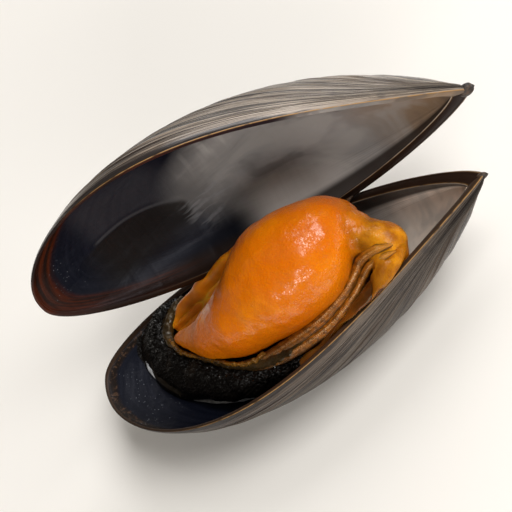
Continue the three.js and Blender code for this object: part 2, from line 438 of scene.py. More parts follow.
def shell_material(look, name, upper):
    """Growth-lined skin outside, nacre inside, and a dark lip with golden edges between them."""
    sh = Shader(name, IOR=1.33, Coat_Roughness=0.2, Coat_IOR=1.5, Specular_Tint=(0.55, 0.55, 0.62, 1.0))
    growth, inside, around = sh.field("growth"), sh.field("inside"), sh.field("around")
    place = sh.field("place", vector=True)
    x, y, _ = sh.parts(place)
    cloud = sh.noise(place, 3.0, 4.0, 0.6)
    streak_at = sh.join(growth * 60.0 + cloud * 0.6, around * 3.5, 0.0)
    streak = sh.noise(streak_at, 1.0, 6.0, 0.68)
    fine = sh.noise(sh.join(growth * 330.0 + cloud * 1.2, around * 8.0), 1.0, 4.0, 0.65)
    # Silvery streaks: partly real wear of the skin, partly painted sheen; fullest near the beak and on the
    # upper valve, faint on the lower.
    worn_and_sheen = (streak + x.below(0.3, 0.7) * 0.05).above(0.46, 0.56) * fine.above(0.42, 0.55)
    worn_and_sheen = worn_and_sheen * (x.below(0.3, 0.75) * 0.6 + 0.42) * (1.0 if upper else 0.35)
    skin = sh.mix(worn_and_sheen, look.outside[:], look.worn_and_sheen[:])
    brown = sh.noise(streak_at, 0.5, 3.0).above(0.5, 0.72)
    skin = sh.mix(brown * 0.6, skin, (0.085, 0.05, 0.028))
    skin = sh.mix(sh.noise(place, 14.0, 3.0).above(0.62, 0.75) * 0.4, skin, (0.05, 0.042, 0.045))

    patch = sh.noise(place, 5.0, 4.0, 0.55, 0.8)
    reach = x + (y ** 2.0) * 9.0 + (patch - 0.5) * 0.12
    tip, tone = ((0.1, 0.32), look.horn[:]) if upper else ((0.2, 0.42), look.pearl[:])
    nacre = sh.mix(reach.above(*tip), tone, look.slate[:])
    nacre = sh.mix(x.above(0.34, 0.56) * 0.5, nacre, (0.34, 0.325, 0.315))
    nacre = sh.mix(reach.above(0.5, 0.74), nacre, look.navy[:])
    drift = sh.noise(sh.join(x * 7.0 + cloud * 0.8, y * 18.0, 0.0), 1.0, 3.0, 0.5, 0.5)
    fingers = sh.noise(sh.join(x * 30.0, y * 4.0 + cloud, 0.0), 1.0, 2.0, 0.5, 0.3)
    bright = reach.below(0.52, 0.68)
    nacre = sh.mix(drift.above(0.48, 0.62) * bright * 0.55, nacre, (0.4, 0.375, 0.35))
    nacre = sh.mix(fingers.above(0.48, 0.64) * bright * x.above(0.2, 0.4) * y.above(-0.02, 0.1) * 0.75, nacre,
                   (0.5, 0.475, 0.45))
    nacre = sh.mix(drift.below(0.36, 0.48) * bright * 0.5, nacre, (0.09, 0.083, 0.08))
    rings = sh.add("ShaderNodeMath", {"operation": "SINE"}, growth * 210.0 + cloud * 7.0)
    thin = sh.noise(sh.join(growth * 120.0, around * 3.0), 1.0, 3.0, 0.7)
    ringed = (rings * 0.5 + 0.5) * thin.above(0.35, 0.7) * growth.above(0.6, 0.85) * 0.3
    nacre = sh.mix(ringed, nacre, (0.02, 0.022, 0.036))
    if upper:
        # Painted highlight: a near-white band on the upper nacre towards the hinge side.
        painted_highlight_band = y.above(-0.2, -0.14) * y.below(-0.12, -0.07) * x.above(0.24, 0.36) * x.below(0.46, 0.58)
        nacre = sh.mix(painted_highlight_band * 0.85, nacre, (0.7, 0.66, 0.63))
        dusk = y.above(-0.07, -0.03) * y.below(0.0, 0.05) * x.above(0.3, 0.42) * x.below(0.6, 0.7)
        nacre = sh.mix(dusk * 0.3, nacre, (0.12, 0.115, 0.11))
        shade = y.below(-0.13, -0.09) * x.above(0.5, 0.6)
        nacre = sh.mix(shade * 0.85, nacre, look.navy[:])
        ridge = y - 0.052 + ((x - 0.81) ** 2.0) * 2.4
        scar = ridge.below(-0.012, 0.004) * x.above(0.63, 0.645) * x.below(0.82, 0.9)
        nacre = sh.mix(scar * y.above(-0.11, -0.05) * 0.8, nacre, (0.011, 0.0095, 0.008))
        line = ridge.above(-0.006, 0.001) * ridge.below(0.002, 0.009)
        nacre = sh.mix(line * x.above(0.63, 0.66) * x.below(0.82, 0.84) * 0.5, nacre, (0.085, 0.085, 0.09))
        halo = ridge.above(0.0, 0.02) * ridge.below(0.1, 0.2) * x.above(0.6, 0.68) * x.below(0.8, 0.86)
        nacre = sh.mix(halo * 0.6 * (1 - ringed * 2), nacre, (0.04, 0.04, 0.047))
        bend = sh.noise(sh.join(x * 16.0 + y * 10.0, y * 95.0 + cloud * 4.0), 1.0, 2.0, 0.5, 0.4)
        glint = bend.above(0.48, 0.66) * x.above(0.44, 0.54) * x.below(0.64, 0.67)
        glint = glint * y.above(-0.115, -0.085) * y.below(-0.05, 0.0)
        nacre = sh.mix(glint * 0.35, nacre, (0.26, 0.26, 0.27))
    else:
        # Painted highlight: a warm near-white patch on the lower nacre near the beak, on the open side.
        painted_highlight = growth.above(0.45, 0.9) * x.below(0.28, 0.42) * around.above(0.5, 0.6)
        nacre = sh.mix(painted_highlight * 0.9, nacre, (0.95, 0.8, 0.66))
    crust = growth + (sh.noise(place, 12.0, 3.0) - 0.5) * 0.02
    crust = (crust.above(0.94, 0.965) if upper else crust.above(0.976, 0.986)) * x.above(0.3, 0.75)
    hem = sh.mix(sh.noise(sh.join(growth * 90.0, around * 9.0), 1.0, 4.0).above(0.4, 0.65),
                 (0.011, 0.003, 0.001), (0.06, 0.01, 0.001))
    speckled = sh.mix(sh.noise(place, 110.0, 3.0, 0.7).above(0.52, 0.64), (0.01, 0.006, 0.004),
                      (0.07, 0.038, 0.022))
    nacre = sh.mix(crust, nacre, hem if upper else speckled)
    near = ((x - 0.88) ** 2.0 + (y - 0.13) ** 2.0).below(0.0015, 0.006)
    far_end = x.above(0.84, 0.94) if upper else x.above(0.72, 0.85)
    dusting = sh.noise(place, 9.0, 2.0).above(0.55, 0.66) * far_end
    dusting = (dusting + (0.0 if upper else near)).clamp()
    salt = sh.cells(place, 130.0).below(0.04, 0.2) * sh.noise(place, 40.0, 2.0).above(0.4, 0.55) * dusting
    nacre = sh.mix(salt * 0.7, nacre, (0.3, 0.32, 0.36))
    plate = growth.above(0.9, 0.96) * around.below(0.3, 0.4)
    nacre = sh.mix(plate * 0.92, nacre, (0.014, 0.007, 0.004))

    hinge = around.below(0.38, 0.46)
    lip = inside.above(0.01, 0.04) * inside.below(0.46, 0.56)
    rim = nacre if upper else (0.04, 0.023, 0.014)
    rim = sh.mix(hinge, rim, (0.016, 0.007, 0.0035))
    fray = sh.noise(place, 45.0, 3.0).above(0.25, 0.5) * x.below(0.62, 0.85)
    thread = inside.below(0.05, 0.13) * (1 - hinge * 0.6) + inside.above(0.38, 0.43) * hinge * 0.4
    lip_tone = sh.mix(thread.clamp() * fray, rim, look.edge[:])
    colour = sh.mix(inside.above(0.5, 0.9), skin, nacre)
    colour = sh.mix(lip, colour, lip_tone)

    outer_bump = sh.bump((streak * 0.6 + fine * 0.4) * inside.below(0.02, 0.2), 0.00045, 1.0)
    inner_wave = (drift * 0.5 + fingers * 0.3 + thin * 0.05) * inside.above(0.5, 0.9)
    both = sh.bump(inner_wave, 0.001, 0.5, outer_bump)
    rough = inside.above(0.5, 0.9) * 0.04 + 0.3 + fine * 0.14
    wet = inside.below(0.01, 0.04) * fine.above(0.35, 0.6) * (1.0 if upper else 0.35)
    wet = wet + inside.above(0.5, 0.9) * bright * 0.35
    return sh.finish(Base_Color=colour, Roughness=rough, Normal=both, Coat_Weight=wet)


def valve_piece(name, node, look, upper):
    """One valve, mirrored and opened if it is the upper one, else with its belly flattened by wear."""
    rings, facts, t = valve_shape()
    points = rings.reshape(-1, 3)
    growth, inside = np.repeat(facts, COLUMNS, axis=0).T
    around = np.tile(np.concatenate([[0.0], t]), len(rings))
    attributes = {"growth": growth, "inside": inside, "around": around, "place": points / VALVE_LENGTH}
    points = to_rest(opened(points) if upper else points)
    if not upper:
        points[:, 2] = np.maximum(points[:, 2], 0)
    piece = make_mesh(name, points, seam(rings, upper), attributes)
    piece.data.materials.append(shell_material(look, name, upper))
    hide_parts(node)
    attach(piece, "root")


def meat_piece(name, points, faces, material, attributes=None):
    """A piece of the meat from layout points."""
    piece = make_mesh(name, to_rest(points), faces, attributes)
    piece.data.materials.append(material)
    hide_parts("meat")
    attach(piece, "root")


def sight(place):
    """Layout direction in which the camera sees a place of the picture, given in its pixels."""
    return CAMERA @ np.array(((place[0] - PICTURE / 2) / FOCUS, (PICTURE / 2 - place[1]) / FOCUS, -1.0))


def seen(place, height):
    """Layout point at a height that the camera sees at a place of the picture."""
    ray = sight(place)
    return EYE + ray * (height - EYE[2]) / ray[2]


def beside(place, point):
    """Layout point seen at a place of the picture, as far from the camera as the given point."""
    away = -(CAMERA.T @ (point - EYE))[2]
    return EYE + sight(place) * away


def lining_height(place, lift):
    """Height at which the camera sees the lower lining at a place of the picture, plus a lift."""
    height = -3.0
    for _ in range(20):
        point = seen(place, height)
        height = float(lining(point[:1], point[1:2])[0][0]) + lift
    return height


def lining(x, y):
    """Height of a valve's inner face, and how far across it the point lies from 0 to 1."""
    u = np.clip((x - BEAK_WALL) / LINING_LENGTH, 0, 1)
    near, far = [k * LINING_WIDTH + LINING_SHIFT for k in (-width(HINGE_SIDE, u), width(OPEN_SIDE, u))]
    across = between(y, near, far)
    return -LINING_DEPTH * depth(u) * np.sqrt(np.maximum(0, 1 - across ** 2)), np.abs(across)


def settled(points, gap=0.12):
    """Points kept within the lower valve's margin, above its lining and off the upper valve's."""
    out = points.copy()
    front_height, back_height = 0.6, 3.0
    u = np.clip((out[..., 0] - BEAK_WALL) / LINING_LENGTH, 0, 1)
    front, back = width(OPEN_SIDE, u) * LINING_WIDTH + 0.4, 1.0 - width(HINGE_SIDE, u) * LINING_WIDTH
    y = np.where(out[..., 2] < front_height, np.minimum(out[..., 1], front), out[..., 1])
    out[..., 1] = np.where(out[..., 2] < back_height, np.maximum(y, np.minimum(back, LINING_SHIFT)), y)
    height, across = lining(out[..., 0], out[..., 1])
    out[..., 2] = np.where(across < 1.2, np.maximum(out[..., 2], height + gap), out[..., 2])
    back = ((out - TURN_TO) @ OPENING + TURN_FROM) * (1, 1, -1)
    height, across = lining(back[..., 0], back[..., 1])
    back[..., 2] = np.where(across < 1.0, np.maximum(back[..., 2], height + gap), back[..., 2])
    return (back * (1, 1, -1) - TURN_FROM) @ OPENING.T + TURN_TO


def pebble(name, node, material, centre, half, grain, carry=None):
    """Small rounded body with a rough skin, given in the layout and carried on if asked."""
    rise = np.linspace(-math.pi / 2 + 0.05, math.pi / 2 - 0.05, 48)[:, None]
    turn = (2 * math.pi * np.arange(64) / 64)[None]
    ball = np.stack([np.sin(rise) + 0 * turn, np.cos(rise) * np.cos(turn), np.cos(rise) * np.sin(turn)], -1)
    rings = ball * half + centre
    rings += ball * (grain * bumps(rings * (0.5, 2.2, 2.2), 0.9, 2.0))[..., None]
    points = rings.reshape(-1, 3)
    piece = make_mesh(name, to_rest(carry(points) if carry else points), seam(rings, carry is not None))
    piece.data.materials.append(material)
    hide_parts(node)
    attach(piece, "root")


def smooth_rail(points, at):
    """Points on the smooth curve through the given ones, at places from 0 to 1."""
    p = np.array(points, float)
    if p.ndim == 1:
        p = p[:, None]
    p = np.vstack([2 * p[0] - p[1], p, 2 * p[-1] - p[-2]])
    k = np.clip(at, 0, 1) * (len(p) - 3 - 1e-9)
    i = k.astype(int)
    f = (k - i)[:, None]
    a, b, c, d = p[i], p[i + 1], p[i + 2], p[i + 3]
    bend, twist = 2 * a - 5 * b + 4 * c - d, 3 * b - a - 3 * c + d
    return 0.5 * (2 * b + (c - a) * f + bend * f ** 2 + twist * f ** 3)


def even(points, count):
    """Places from 0 to 1 that divide the smooth curve into equal lengths."""
    at = np.linspace(0, 1, 40 * len(points))
    curve = smooth_rail(points, at)
    run = np.concatenate([[0], np.cumsum(np.linalg.norm(np.diff(curve, axis=0), axis=1))])
    return np.interp(np.linspace(0, run[-1], count), run, at)


def rounded(first, second, thick, along, around, relief=None, crisp=1.0):
    """Closed body between two edge curves: rings, place along and across, and if it is inside out.

    The section is an oval whose wide axis joins the edges and whose thick axis faces the camera.
    """
    middle = (np.array(first) + np.array(second)) / 2
    at = even(middle, along)
    a, b = smooth_rail(first, at), smooth_rail(second, at)
    half = np.maximum(smooth_rail(thick, at), 0.02)
    centre, wide = (a + b) / 2, (b - a) / 2
    run = np.gradient(centre, axis=0)
    face = np.cross(run, wide)
    face /= np.linalg.norm(face, axis=1, keepdims=True)
    face *= np.sign(np.sum(face * (EYE - centre), 1, keepdims=True))
    angle = 2 * np.pi * np.arange(around) / around
    c, s = np.cos(angle), np.sin(angle)
    c, s = np.sign(c) * np.abs(c) ** crisp, np.sign(s) * np.abs(s) ** crisp
    rings = centre[:, None] - wide[:, None] * c[None, :, None] + face[:, None] * (half * s[None])[..., None]
    ahead = np.roll(rings, -1, 1) - np.roll(rings, 1, 1)
    forth = np.gradient(rings, axis=0)
    normal = np.cross(forth, ahead)
    normal /= np.linalg.norm(normal, axis=-1, keepdims=True) + 1e-12
    outward = np.sign(np.sum(normal * (rings - centre[:, None]), axis=(1, 2)))
    normal *= outward[:, None, None]
    place = np.broadcast_to(np.linspace(0, 1, along)[:, None], rings.shape[:2])
    side = np.broadcast_to(((1 - np.cos(angle)) / 2)[None], rings.shape[:2])
    if relief is not None:
        rings = rings + normal * relief(rings, place, side)[..., None]
    return settled(rings), place, side, np.median(outward) < 0


def soft_body(name, stations, along, around, material, relief=None, crisp=1.0, lying_on=None):
    """A piece of the meat from stations, with its start drawn up onto another piece if named."""
    rings, place, side, flip = body_rings(stations, along, around, relief, crisp)
    if lying_on:
        rings = lifted(rings, lying_on, share=0.3, lift=0.25)
    meat_piece(name, rings.reshape(-1, 3), seam(rings, flip), material,
               {"run": place.ravel(), "across": side.ravel()})


def flesh_material(name, base, deep, fine_scale=1.0, shine=0.22, grit=1.0, scatter=0.25):
    """Wet cooked flesh: warm mottling, pores and a bumpy skin that breaks up the glints."""
    sh = Shader(name, IOR=1.3, Subsurface_Weight=scatter, Subsurface_Scale=0.0025, Coat_Roughness=0.12,
                Subsurface_Radius=(1.0, 0.35, 0.1), Specular_Tint=(1.0, 0.85, 0.6, 1.0))
    at = sh.inner()
    mottle = sh.noise(at, 140.0 * fine_scale, 4.0, 0.6)
    colour = sh.mix(mottle.above(0.35, 0.7), deep, base)
    warm = sh.noise(at, 45.0, 2.0)
    colour = sh.mix(warm.above(0.5, 0.75) * 0.4, colour, tuple(min(1.0, c * 1.25 + 0.01) for c in base))
    grain = sh.noise(at, 900.0 * fine_scale, 3.0, 0.6)
    lumps = sh.cells(at, 1100.0 * fine_scale)
    bump = sh.bump(lumps * 0.5 + grain, 0.00018, 0.35 * grit)
    bump = sh.bump(sh.noise(at, 260.0, 3.0), 0.0005, 0.35, bump)
    return sh.finish(Base_Color=colour, Roughness=shine + grain * 0.15, Normal=bump,
                     Coat_Weight=grain.above(0.5, 0.62) * 0.45)


class MUSSEL_OT_stage(bpy.types.Operator):
    """Floor, studio light and the camera."""

    bl_idname = "mussel.stage"
    bl_label = "Stage"

    def execute(self, context):
        look = context.scene.mussel_stage
        mesh = bpy.data.meshes.new("floor")
        corners = ((-1, -1), (1, -1), (1, 1), (-1, 1))
        mesh.from_pydata([(FLOOR_REACH * x, FLOOR_REACH * y, 0) for x, y in corners], [], [(0, 1, 2, 3)])
        floor = bpy.data.objects.new("floor", mesh)
        context.scene.collection.objects.link(floor)
        sh = Shader("floor", Roughness=0.6)
        floor.data.materials.append(sh.finish(Base_Color=look.floor[:]))

        camera = bpy.data.objects.new("camera", bpy.data.cameras.new("camera"))
        camera.data.lens = look.lens
        camera.data.sensor_width = SENSOR
        camera.data.clip_start = 0.01
        eye = Vector(to_rest(EYE[None])[0] * MM)
        camera.matrix_world = Matrix.Translation(eye) @ Matrix((REST @ CAMERA).tolist()).to_4x4()
        context.scene.collection.objects.link(camera)
        context.scene.camera = camera

        context.scene.view_settings.view_transform = "Standard"
        world = bpy.data.worlds.new("studio")
        world.use_nodes = True
        backdrop = world.node_tree.nodes["Background"]
        backdrop.inputs["Color"].default_value = (1.0, 0.92, 0.8, 1.0)
        backdrop.inputs["Strength"].default_value = 0.14
        context.scene.world = world

        turn = camera.matrix_world.to_3x3()
        for name, (side, power, length, across, colour) in LAMPS.items():
            lamp = bpy.data.lights.new(name, "AREA")
            lamp.shape, lamp.size, lamp.size_y = "RECTANGLE", length, across
            lamp.energy, lamp.color = power, colour
            holder = bpy.data.objects.new(name, lamp)
            place = AIM + (turn @ Vector(side)).normalized() * LAMP_DISTANCE
            place.z = max(place.z, LAMP_FLOOR)
            away = (place - AIM).normalized()
            upright = away.cross(turn @ Vector((1.0, 0.9, 0.0))).normalized()
            facing = Matrix((upright.cross(away), upright, away)).transposed().to_4x4()
            holder.matrix_world = Matrix.Translation(place) @ facing
            context.scene.collection.objects.link(holder)
        return {"FINISHED"}


class MUSSEL_OT_valves(bpy.types.Operator):
    """Both valves of the shell."""

    bl_idname = "mussel.valves"
    bl_label = "Valves"

    def execute(self, context):
        look = context.scene.mussel_shell
        valve_piece("lower_shell", "lower_valve", look, False)
        valve_piece("upper_shell", "upper_valve", look, True)
        sh = Shader("beak_tip", IOR=1.5)
        at = sh.inner()
        grit = sh.noise(at, 900.0, 4.0, 0.65)
        tone = sh.mix(grit.above(0.45, 0.7), (0.012, 0.007, 0.004), (0.07, 0.038, 0.02))
        tip = sh.finish(Base_Color=tone, Roughness=0.3 + grit * 0.3, Normal=sh.bump(grit, 0.0003, 0.7))
        pebble("lower_beak_tip", "lower_valve", tip, (0.5, 0.0, -0.25), (0.95, 0.5, 0.5), 0.12)
        pebble("upper_beak_tip", "upper_valve", tip, (0.7, 0.0, -0.35), (1.35, 0.8, 0.75), 0.15,
               opened)
        return {"FINISHED"}


class MUSSEL_OT_ligament(bpy.types.Operator):
    """Leathery pad between the hinge margins."""

    bl_idname = "mussel.ligament"
    bl_label = "Ligament"

    def execute(self, context):
        sh = Shader("ligament", IOR=1.4)
        at = sh.inner()
        fibre = sh.noise(at, 700.0, 4.0, 0.6)
        colour = sh.mix(fibre.above(0.35, 0.7), (0.012, 0.006, 0.003), (0.09, 0.04, 0.012))
        material = sh.finish(Base_Color=colour, Roughness=0.4 + fibre * 0.2,
                             Normal=sh.bump(fibre, 0.0002, 0.6))
        pebble("ligament_pad", "ligament", material, (25.6, -8.4, 1.5), (5.7, 2.2, 0.75), 0.18)
        return {"FINISHED"}


def fused(name, parts, pitch, melt, relief):
    """Points and faces of bodies grown into one, with their joints melted smooth."""
    points, faces = [], []
    for rings, flip in parts:
        start = sum(len(p) for p in points)
        points.append(rings.reshape(-1, 3))
        faces += [tuple(start + i for i in face) for face in seam(rings, flip)]
    rough = make_mesh(name + "_rough", np.vstack(points), faces)
    grown = rough.modifiers.new("grown", "REMESH")
    grown.mode, grown.voxel_size = "VOXEL", pitch * MM
    soft = rough.modifiers.new("soft", "SMOOTH")
    soft.factor, soft.iterations = 0.5, melt
    held = rough.evaluated_get(bpy.context.evaluated_depsgraph_get())
    mesh = held.to_mesh()
    spots, ways = np.empty((2, len(mesh.vertices) * 3), np.float32)
    mesh.vertices.foreach_get("co", spots)
    mesh.vertices.foreach_get("normal", ways)
    out = [tuple(face.vertices) for face in mesh.polygons]
    held.to_mesh_clear()
    bpy.data.objects.remove(rough)
    spots = spots.reshape(-1, 3).astype(float) / MM
    return spots + ways.reshape(-1, 3) * relief(spots)[:, None], out


def lifted(rings, name, share, lift):
    """Rings whose first part is drawn towards the camera until it lies on a finished piece."""
    bpy.context.view_layer.update()
    piece = bpy.data.objects[name]
    eye = to_rest(EYE[None])[0] * MM
    middles = rings.mean(1)
    shifts = np.zeros(len(rings))
    for index in range(int(len(rings) * share)):
        ray = to_rest(middles[index][None])[0] * MM - eye
        hit, spot, _, _ = piece.ray_cast(eye.tolist(), ray.tolist())
        if hit:
            behind = np.linalg.norm(ray) - np.linalg.norm(np.array(spot) - eye)
            shifts[index] = max(0.0, behind / MM + lift)
    window = len(rings) // 12
    padded = np.pad(shifts, window, mode="edge")
    shifts = np.convolve(padded, np.ones(2 * window + 1) / (2 * window + 1), "valid")
    towards = EYE - middles
    towards /= np.linalg.norm(towards, axis=1, keepdims=True)
    return rings + (towards * shifts[:, None])[:, None]


def nearness(points, rings):
    """Distance of each point to a body given as rings."""
    tree = kdtree.KDTree(rings.size // 3)
    for index, point in enumerate(rings.reshape(-1, 3)):
        tree.insert(point, index)
    tree.balance()
    return np.array([tree.find(point)[2] for point in points])


def body_rings(stations, along, around, relief=None, crisp=1.0):
    """Rings of a body from stations of two seen edges, their heights and half thickness."""
    first, second, thick = [], [], []
    for near_x, near_y, far_x, far_y, near_height, far_height, half in stations:
        near, b = (near_x, near_y), seen((far_x, far_y), far_height)
        first.append(beside(near, b) if near_height is None else seen(near, near_height))
        second.append(b)
        thick.append(half)
    return rounded(first, second, thick, along, around, relief, crisp)


# The lobe's middle and reach in the layout, and the stations of the lobe and its nub: two seen
# edges in picture pixels, their heights (none for as far away as the other edge) and half
# thickness in millimetres.
LOBE_MIDDLE = np.array((33.0, 5.0, 5.5))
LOBE_REACH = 20.0
LOBE = (
    (176, 337, 177, 340, None, 0, 0.5), (182, 330, 184, 347, None, 0, 1.4),
    (193, 324, 198, 353, None, -0.2, 2.6), (207, 313, 216, 357.5, None, -0.3, 3.9),
    (217, 297, 236, 357.5, None, -0.3, 5.2), (224, 278, 258, 351.5, None, -0.3, 6.3),
    (230, 262, 280, 341, None, -0.3, 7), (237, 243.5, 301, 331, None, -0.2, 7.5),
    (247, 229, 320, 317.5, None, -0.1, 7.8), (265, 215, 335, 304, None, 0, 7.8),
    (287, 204.5, 346, 289, None, 0.3, 7.4), (305, 198.5, 352, 275, None, 0.8, 6.8),
    (322, 196.5, 355, 263, None, 1.5, 6), (338, 199.5, 359, 251, None, 2.2, 5),
    (350, 205.5, 363, 240, None, 2.9, 4), (359, 212, 366, 231, None, 3.4, 2.7),
    (365, 218, 368, 226, None, 3.8, 1.2),
)
NUB = (
    (340, 206, 344, 262, None, 2.4, 4.6), (354, 209, 356, 259, None, 2.4, 4.1),
    (368, 216, 361, 257, None, 2.4, 3.7), (383, 220, 367, 260, None, 2.1, 3.5),
    (396, 223, 371, 266, None, 1.7, 3.3), (406, 232, 373, 273, None, 1.4, 3.1),
    (407.5, 246, 371, 282, None, 1.1, 2.7), (403, 261, 373, 291, None, 1, 2.2),
    (395, 275, 372, 299, None, 0.9, 1.6), (385, 288, 370, 304, None, 0.8, 0.9),
)


class MUSSEL_OT_lobe(bpy.types.Operator):
    """Plump orange lobe with the nub it flows into, and the flap behind it."""

    bl_idname = "mussel.lobe"
    bl_label = "Lobe"

    def execute(self, context):
        look = context.scene.mussel_meat
        parts = []
        for stations in (LOBE, NUB):
            rings, _, _, flip = body_rings(stations, 120, 90)
            parts.append((rings, flip))
        points, faces = fused("lobe", parts, pitch=0.17, melt=14,
                              relief=lambda p: 0.2 * bumps(p, 0.16, 4.0) + 0.045 * bumps(p, 0.7, 9.0))
        points = settled(points)
        apart = [nearness(points, rings) for rings, _ in parts]
        nub = smooth(-1.2, 1.8, apart[0] - apart[1])
        place = (points - LOBE_MIDDLE) / LOBE_REACH
        meat_piece("lobe", points, faces, lobe_material(look), {"nub": nub, "place": place})
        flap = flesh_material("flap", (0.95, 0.31, 0.008), (0.3, 0.08, 0.004), 0.5, 0.3, 0.6, 0.35)
        soft_body("flap", (
            (238, 243, 246, 256, 8.5, 7, 0.5), (228, 255, 240, 272, 7.4, 5, 0.9),
            (219, 263, 236, 284, 6.4, 3.6, 1), (208, 273, 229, 297, 5.2, 2.2, 1),
            (196, 284, 220, 308, 4, 1, 1), (185, 297, 208, 318, 2.6, 0.2, 0.9),
            (177, 312, 195, 325, 1.2, -0.2, 0.7), (173, 327, 181, 332, 0, -0.3, 0.4),
        ), 150, 90, flap, lambda p, run, side:
            0.35 * bumps(p, 0.3, 2.5) - 1.5 * np.sin(np.pi * side) ** 2 + 0.3)
        return {"FINISHED"}


def lobe_material(look):
    """Wet orange skin, pitted where the light catches it, turning amber towards the nub."""
    sh = Shader("lobe", IOR=1.2, Coat_Roughness=0.2, Coat_IOR=1.7, Specular_Tint=(1.0, 0.72, 0.35, 1.0),
                Subsurface_Weight=0.25, Subsurface_Scale=0.0015, Subsurface_Radius=(1.0, 0.5, 0.2))
    place, nub = sh.field("place", vector=True), sh.field("nub")
    orange = look.lobe[:]
    deep = tuple(c * k for c, k in zip(orange, (0.86, 0.72, 0.6)))
    light = tuple(min(1.0, c * k) for c, k in zip(orange, (1.12, 1.35, 2.0)))
    colour = sh.mix(sh.noise(place, 1.6, 3.0).above(0.3, 0.7), deep, orange)
    colour = sh.mix(sh.noise(place, 3.1, 4.0, 0.6).above(0.5, 0.75) * 0.5, colour, light)
    colour = sh.mix(sh.noise(place, 26.0, 3.0, 0.6).above(0.55, 0.75) * 0.25, colour, deep)
    x, y, z = sh.parts(place)
    # Painted shade: the lobe is coloured darker towards its top edge.
    shaded_top = (z - y).above(0.35, 0.9)
    colour = sh.mix(shaded_top * 0.55, colour, tuple(c * 0.62 for c in orange))
    amber = sh.mix(sh.noise(place, 7.0, 4.0).above(0.35, 0.65), (0.34, 0.1, 0.003), (0.66, 0.25, 0.006))
    tail = sh.mix(sh.noise(place, 9.0, 4.0).above(0.4, 0.65), (0.12, 0.04, 0.003), (0.34, 0.12, 0.006))
    amber = sh.mix(x.above(-1.0, -0.6), amber, tail)
    colour = sh.mix(nub, colour, amber)
    freckle = sh.cells(place, 17.0).below(0.03, 0.07) * sh.noise(place, 3.0).above(0.55, 0.65)
    colour = sh.mix(freckle * 0.6, colour, (0.1, 0.03, 0.01))
    pits = sh.cells(place, 62.0)
    grain = sh.noise(place, 95.0, 3.0, 0.65)
    bump = sh.bump(pits * 0.6 + grain * 0.7, 0.00012, 0.75)
    bump = sh.bump(sh.noise(place, 14.0, 3.0, 0.5), 0.0004, 0.4, bump)
    dots = pits.below(0.3, 0.5) * grain.above(0.44, 0.52)
    pool = sh.noise(place, 9.0, 3.0).above(0.46, 0.6)
    wet = (dots * 0.9 + pool * 0.4 + 0.1).clamp() * x.below(0.3, 0.75)
    wet = wet * (1 - nub * 0.75) * (1 - shaded_top * 0.55)
    return sh.finish(Base_Color=colour, Roughness=grain * 0.2 + 0.2, Normal=bump, Coat_Weight=wet)


def comb_material():
    """Pale brown translucent wet gill with a dotted line of painted glints along it."""
    sh = Shader("gill_fold", IOR=1.33, Coat_Roughness=0.12, Subsurface_Weight=0.2, Subsurface_Scale=0.0015,
                Subsurface_Radius=(1.0, 0.4, 0.1), Specular_Tint=(1.0, 0.85, 0.6, 1.0))
    run, across = sh.field("run"), sh.field("across")
    at = sh.join(run * 26.0, across * 2.0)
    colour = sh.mix(sh.noise(at, 1.4, 4.0, 0.6).above(0.35, 0.65), (0.11, 0.034, 0.003), (0.32, 0.1, 0.006))
    # Painted glints: light dots in a band along the fold.
    painted_glint_line = across.above(0.46, 0.56) * across.below(0.64, 0.74)
    dots = sh.noise(sh.join(run * 260.0, across * 6.0), 1.0, 2.0, 0.6)
    colour = sh.mix(painted_glint_line * dots.above(0.45, 0.6) * 0.55, colour, (0.8, 0.52, 0.26))
    colour = sh.mix(run.above(0.5, 0.9) * 0.75, colour, (0.05, 0.024, 0.009))
    colour = sh.mix(run.below(0.04, 0.2) * 0.7, colour, (0.5, 0.2, 0.016))
    # Painted shade: both long edges of the fold are darkened, for the creases beside it.
    edge = (across.below(0.04, 0.2) + across.above(0.86, 0.98)).clamp()
    colour = sh.mix(edge * 0.8, colour, (0.03, 0.011, 0.003))
    return sh.finish(Base_Color=colour, Roughness=0.2 + dots * 0.2, Coat_Weight=dots.above(0.52, 0.6) * 0.35,
                     Normal=sh.bump(dots, 0.00008, 0.4))


